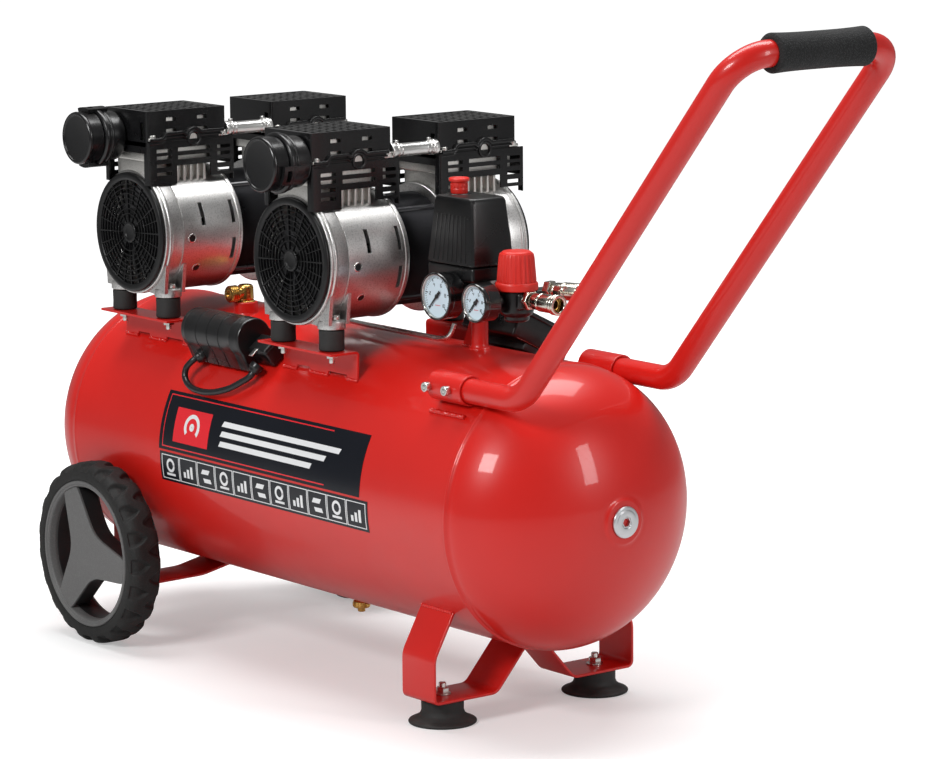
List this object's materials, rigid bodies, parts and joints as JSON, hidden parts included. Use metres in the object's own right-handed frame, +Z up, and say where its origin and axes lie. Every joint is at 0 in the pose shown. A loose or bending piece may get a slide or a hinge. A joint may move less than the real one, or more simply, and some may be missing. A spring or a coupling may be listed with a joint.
{
  "type": "air compressor",
  "caption": "Oil-free workshop air compressor: twin electric motor pumps on a horizontal red tank with rear wheels, front rubber feet, outlet gauges and a tubular push handle.",
  "frame": {"origin": "centre of the bottom of the whole machine's box, on the floor", "axes": "+Z up; +X along the tank, from the wheels towards the handle; -Y the side with the gauges"},
  "size_m": [1.1484, 0.3766, 0.7103],
  "materials": {
    "red_paint": "gloss paint",
    "cast_aluminium": "satin casting",
    "guard_plastic": "satin",
    "cover_plastic": "satin",
    "black_plastic": "satin",
    "gauge_black": "gloss",
    "winding_black": "black lacquer over laminations",
    "black_rubber": "matt",
    "lead_rubber": "satin",
    "tyre_rubber": "matt",
    "wheel_plastic": "coarse grain",
    "foam": "foam",
    "bright_steel": "polished",
    "fan_steel": "satin",
    "coupling_nickel": "nickel plate",
    "plug_zinc": "bright zinc",
    "brass": "machined",
    "red_plastic": "semi-gloss",
    "needle_black": "matt"
  },
  "bodies": {
    "frame": {"bracket_a_far": "red_paint", "bracket_a_near": "red_paint", "bracket_b_far": "red_paint", "bracket_b_near": "red_paint", "buffer_a_far_front": "black_rubber", "buffer_a_far_rear": "black_rubber", "buffer_a_near_front": "black_rubber", "buffer_a_near_rear": "black_rubber", "buffer_b_far_front": "black_rubber", "buffer_b_far_rear": "black_rubber", "buffer_b_near_front": "black_rubber", "buffer_b_near_rear": "black_rubber", "capacitor_case": "black_plastic", "capacitor_lead": "lead_rubber", "check_valve": "brass", "crankcase_a_far": "cast_aluminium", "crankcase_a_near": "cast_aluminium", "crankcase_b_far": "cast_aluminium", "crankcase_b_near": "cast_aluminium", "front_foot_far": "black_rubber", "front_foot_near": "black_rubber", "front_foot_strap": "red_paint", "gauge_line": "gauge_black", "gauge_tank": "gauge_black", "grille_a_far": "guard_plastic", "grille_a_near": "guard_plastic", "grille_b_far": "guard_plastic", "grille_b_near": "guard_plastic", "handle_bar": "red_paint", "handle_grip": "foam", "head_a_far": "cover_plastic", "head_a_near": "cover_plastic", "head_b_far": "cover_plastic", "head_b_near": "cover_plastic", "intake_filter_a": "cover_plastic", "intake_filter_b": "cover_plastic", "manifold": "black_plastic", "outlet_riser": "red_paint", "stator_a": "winding_black", "stator_b": "winding_black", "switch_cover": "black_plastic", "tank_plug": "plug_zinc", "tank_shell": "red_paint", "terminal_box": "black_plastic", "transfer_pipe_a": "bright_steel", "transfer_pipe_b": "bright_steel", "wheel_strap": "red_paint"},
    "wheel_near": {"wheel_near_tyre": "tyre_rubber", "wheel_near_hub": "wheel_plastic"},
    "wheel_far": {"wheel_far_tyre": "tyre_rubber", "wheel_far_hub": "wheel_plastic"},
    "rotor_a": {"rotor_a": "fan_steel"},
    "rotor_b": {"rotor_b": "fan_steel"},
    "drain_tap": {"drain_tap": "brass"},
    "switch_knob": {"switch_knob": "red_plastic"},
    "regulator_knob": {"regulator_knob": "red_plastic"},
    "gauge_tank_needle": {"needle_tank": "needle_black"},
    "gauge_line_needle": {"needle_line": "needle_black"},
    "coupling_near_sleeve": {"coupling_near": "coupling_nickel"},
    "coupling_far_sleeve": {"coupling_far": "coupling_nickel"}
  },
  "joints": [
    {"name": "wheel_near_spin", "type": "hinge", "parent": "frame", "child": "wheel_near", "pos_m": [-0.392, -0.1688, 0.0989], "axis": [0, 1, 0], "continuous": true},
    {"name": "wheel_far_spin", "type": "hinge", "parent": "frame", "child": "wheel_far", "pos_m": [-0.392, 0.1688, 0.0989], "axis": [0, 1, 0], "continuous": true},
    {"name": "rotor_a_spin", "type": "hinge", "parent": "frame", "child": "rotor_a", "pos_m": [-0.3776, 0, 0.4459], "axis": [0, 1, 0], "continuous": true},
    {"name": "rotor_b_spin", "type": "hinge", "parent": "frame", "child": "rotor_b", "pos_m": [-0.0824, 0, 0.4459], "axis": [0, 1, 0], "continuous": true},
    {"name": "drain_tap_turn", "type": "hinge", "parent": "frame", "child": "drain_tap", "pos_m": [-0.1434, 0, 0.066], "axis": [0, 0, 1], "range_deg": [0, 360]},
    {"name": "switch_knob_pull", "type": "slide", "parent": "frame", "child": "switch_knob", "axis": [0, 0, 1], "range_m": [0, 0.006]},
    {"name": "regulator_knob_turn", "type": "hinge", "parent": "frame", "child": "regulator_knob", "pos_m": [0.1222, 0, 0.416], "axis": [0, 0, 1], "range_deg": [-720, 720]},
    {"name": "gauge_tank_reading", "type": "hinge", "parent": "frame", "child": "gauge_tank_needle", "pos_m": [0.0532, -0.05, 0.416], "axis": [0, 1, 0], "range_deg": [0, 270]},
    {"name": "gauge_line_reading", "type": "hinge", "parent": "frame", "child": "gauge_line_needle", "pos_m": [0.1153, -0.05, 0.416], "axis": [0, 1, 0], "range_deg": [0, 270]},
    {"name": "coupling_near_release", "type": "slide", "parent": "frame", "child": "coupling_near_sleeve", "axis": [-1, 0, 0], "range_m": [0, 0.004], "stiffness_N_per_m": 800, "springref_m": -0.002},
    {"name": "coupling_far_release", "type": "slide", "parent": "frame", "child": "coupling_far_sleeve", "axis": [-0.9511, -0.309, 0], "range_m": [0, 0.003], "stiffness_N_per_m": 800, "springref_m": -0.002}
  ]
}
